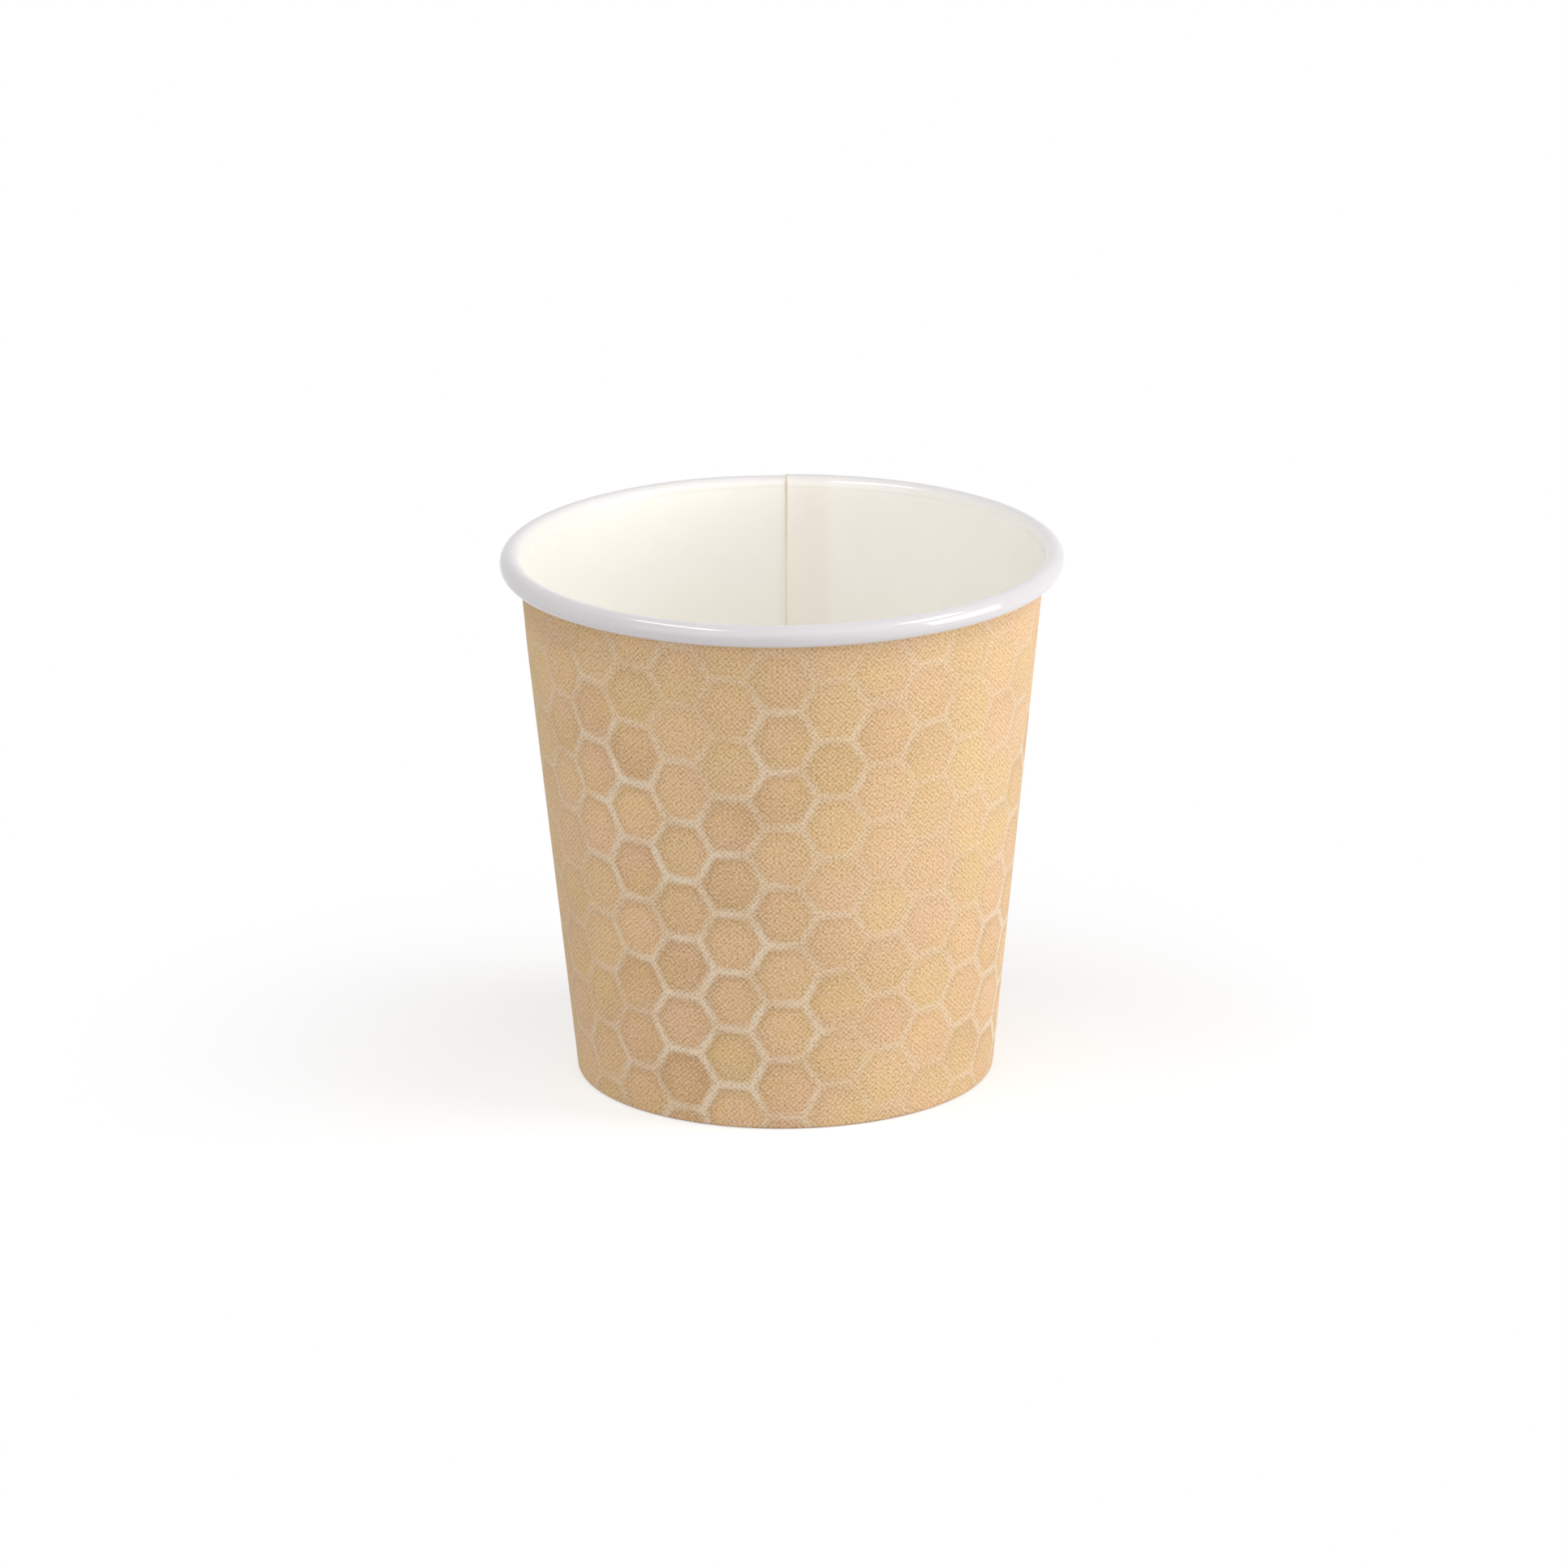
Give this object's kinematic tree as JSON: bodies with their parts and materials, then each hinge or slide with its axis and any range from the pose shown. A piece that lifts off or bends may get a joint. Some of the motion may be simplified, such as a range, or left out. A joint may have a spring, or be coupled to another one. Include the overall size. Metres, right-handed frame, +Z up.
{
  "type": "paper ice cream cup",
  "caption": "Small tapered paper cup with a rolled rim, a lapped side seam, a turned-in foot and a recessed bottom disc, printed outside with a kraft honeycomb pattern.",
  "frame": {"origin": "centre of the foot, on the surface that the cup stands on", "axes": "+Z up along the cup's axis; the side seam runs up the +Y side; the picture looks along +Y and down"},
  "size_m": [0.0622, 0.0624, 0.0595],
  "materials": {
    "white_board": "satin",
    "bottom_board": "satin",
    "kraft_ground": "matte",
    "kraft_cells": "matte"
  },
  "bodies": {
    "root": {"side_wall": "white_board", "bottom_disc": "bottom_board", "kraft_print": "kraft_ground", "honeycomb_print": "kraft_cells"}
  },
  "joints": []
}
